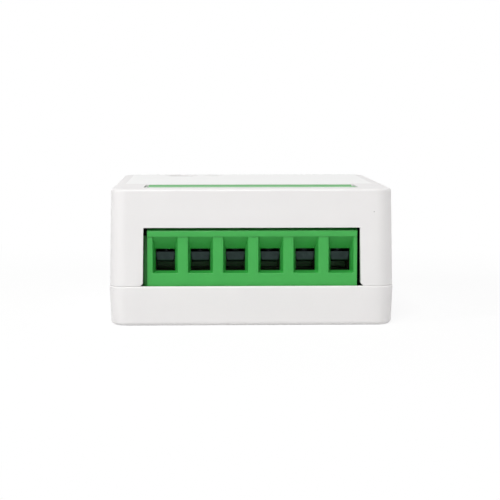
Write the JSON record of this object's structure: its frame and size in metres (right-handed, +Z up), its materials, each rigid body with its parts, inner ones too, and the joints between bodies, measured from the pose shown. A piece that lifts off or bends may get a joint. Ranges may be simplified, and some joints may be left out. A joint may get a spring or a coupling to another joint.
{
  "type": "smart relay module",
  "caption": "Small white two-shell in-wall relay module with a green screw-terminal block in a front window and roof slot, a pairing button and a light pipe",
  "frame": {"origin": "centre of the underside", "axes": "+Z up, the terminal side faces -Y, +X to the right as seen from the terminal side"},
  "size_m": [0.0406, 0.044, 0.0195],
  "materials": {
    "case_plastic": "fine spark texture, white",
    "terminal_plastic": "moulded green, slightly satin",
    "board_laminate": "glass-epoxy laminate under green lacquer",
    "radio_laminate": "glass-epoxy laminate under blue lacquer",
    "tinned_brass": "tin plated",
    "nickel_steel": "nickel plated sheet",
    "zinc_steel": "bright zinc plated",
    "clear_acrylic": "polished, clear",
    "led_resin": "milky resin",
    "black_moulding": "fine matte",
    "bobbin_nylon": "natural nylon",
    "enamelled_copper": "enamelled",
    "soft_iron": "plated soft iron",
    "contact_bronze": "rolled",
    "tinned_lead": "tin plated",
    "can_aluminium": "drawn",
    "capacitor_film": "shrunk film",
    "ferrite": "sintered",
    "blue_epoxy": "dipped epoxy",
    "tan_lacquer": "lacquered ceramic",
    "chip_epoxy": "moulded epoxy",
    "chip_ceramic": "fired ceramic",
    "gilded_copper": "gold flashed copper"
  },
  "bodies": {
    "module": {"upper_shell": "case_plastic", "lower_shell": "case_plastic", "terminal_block": "terminal_plastic", "main_board": "board_laminate", "radio_board": "radio_laminate", "contact_frames": "tinned_brass", "switch_frame": "nickel_steel", "switch_dome": "nickel_steel", "radio_shield": "nickel_steel", "light_pipe": "clear_acrylic", "status_led": "led_resin", "switch_body": "black_moulding", "relay_base": "black_moulding", "relay_cover": "black_moulding", "relay_bobbin": "bobbin_nylon", "relay_winding": "enamelled_copper", "inductor_winding": "enamelled_copper", "relay_core": "soft_iron", "relay_yoke": "soft_iron", "relay_fixed_contacts": "contact_bronze", "switch_legs": "tinned_lead", "relay_coil_pins": "tinned_lead", "component_leads": "tinned_lead", "chip_leads": "tinned_lead", "solder_joints": "tinned_lead", "bulk_capacitor_can": "can_aluminium", "output_capacitor_can": "can_aluminium", "bulk_capacitor_sleeve": "capacitor_film", "output_capacitor_sleeve": "capacitor_film", "inductor_core": "ferrite", "varistor": "blue_epoxy", "fuse_resistor": "tan_lacquer", "bridge_rectifier": "chip_epoxy", "power_controller": "chip_epoxy", "voltage_regulator": "chip_epoxy", "driver_transistor": "chip_epoxy", "flyback_diode": "chip_epoxy", "radio_chip": "chip_epoxy", "chip_resistors": "chip_epoxy", "chip_capacitors": "chip_ceramic", "antenna": "gilded_copper"},
    "guard_1": {"wire_guard_1": "nickel_steel"},
    "screw_1": {"terminal_screw_1": "zinc_steel"},
    "guard_2": {"wire_guard_2": "nickel_steel"},
    "screw_2": {"terminal_screw_2": "zinc_steel"},
    "guard_3": {"wire_guard_3": "nickel_steel"},
    "screw_3": {"terminal_screw_3": "zinc_steel"},
    "guard_4": {"wire_guard_4": "nickel_steel"},
    "screw_4": {"terminal_screw_4": "zinc_steel"},
    "guard_5": {"wire_guard_5": "nickel_steel"},
    "screw_5": {"terminal_screw_5": "zinc_steel"},
    "guard_6": {"wire_guard_6": "nickel_steel"},
    "screw_6": {"terminal_screw_6": "zinc_steel"},
    "button": {"pairing_button": "case_plastic"},
    "plunger": {"switch_plunger": "black_moulding"},
    "armature": {"relay_armature": "soft_iron", "relay_moving_contact": "contact_bronze"}
  },
  "joints": [
    {"name": "guard_1_slide", "type": "slide", "parent": "module", "child": "guard_1", "axis": [0, 0, -1], "range_m": [-0.0011, 0.0011]},
    {"name": "screw_1_turn", "type": "hinge", "parent": "guard_1", "child": "screw_1", "pos_m": [-0.0123, -0.01455, 0.00928], "axis": [0, 0, -1], "range_deg": [-880, 880]},
    {"name": "guard_2_slide", "type": "slide", "parent": "module", "child": "guard_2", "axis": [0, 0, -1], "range_m": [-0.0011, 0.0011]},
    {"name": "screw_2_turn", "type": "hinge", "parent": "guard_2", "child": "screw_2", "pos_m": [-0.0073, -0.01455, 0.00928], "axis": [0, 0, -1], "range_deg": [-880, 880]},
    {"name": "guard_3_slide", "type": "slide", "parent": "module", "child": "guard_3", "axis": [0, 0, -1], "range_m": [-0.0011, 0.0011]},
    {"name": "screw_3_turn", "type": "hinge", "parent": "guard_3", "child": "screw_3", "pos_m": [-0.0023, -0.01455, 0.00928], "axis": [0, 0, -1], "range_deg": [-880, 880]},
    {"name": "guard_4_slide", "type": "slide", "parent": "module", "child": "guard_4", "axis": [0, 0, -1], "range_m": [-0.0011, 0.0011]},
    {"name": "screw_4_turn", "type": "hinge", "parent": "guard_4", "child": "screw_4", "pos_m": [0.0027, -0.01455, 0.00928], "axis": [0, 0, -1], "range_deg": [-880, 880]},
    {"name": "guard_5_slide", "type": "slide", "parent": "module", "child": "guard_5", "axis": [0, 0, -1], "range_m": [-0.0011, 0.0011]},
    {"name": "screw_5_turn", "type": "hinge", "parent": "guard_5", "child": "screw_5", "pos_m": [0.0077, -0.01455, 0.00928], "axis": [0, 0, -1], "range_deg": [-880, 880]},
    {"name": "guard_6_slide", "type": "slide", "parent": "module", "child": "guard_6", "axis": [0, 0, -1], "range_m": [-0.0011, 0.0011]},
    {"name": "screw_6_turn", "type": "hinge", "parent": "guard_6", "child": "screw_6", "pos_m": [0.0127, -0.01455, 0.00928], "axis": [0, 0, -1], "range_deg": [-880, 880]},
    {"name": "button_press", "type": "slide", "parent": "module", "child": "button", "axis": [0, 0, -1], "range_m": [0, 0.0003], "stiffness_N_per_m": 3000},
    {"name": "plunger_press", "type": "slide", "parent": "module", "child": "plunger", "axis": [0, 0, -1], "range_m": [0, 0.0003]},
    {"name": "armature_swing", "type": "hinge", "parent": "module", "child": "armature", "pos_m": [-0.01175, 0.00093, 0.0147], "axis": [-1, 0, 0], "range_deg": [0, 4], "stiffness_Nm_per_rad": 0.02}
  ],
  "couplings": [
    {"joint": "screw_1_turn", "follows": "guard_1_slide", "rad_per_m": 13963},
    {"joint": "screw_2_turn", "follows": "guard_2_slide", "rad_per_m": 13963},
    {"joint": "screw_3_turn", "follows": "guard_3_slide", "rad_per_m": 13963},
    {"joint": "screw_4_turn", "follows": "guard_4_slide", "rad_per_m": 13963},
    {"joint": "screw_5_turn", "follows": "guard_5_slide", "rad_per_m": 13963},
    {"joint": "screw_6_turn", "follows": "guard_6_slide", "rad_per_m": 13963},
    {"joint": "plunger_press", "follows": "button_press", "ratio": 1}
  ]
}
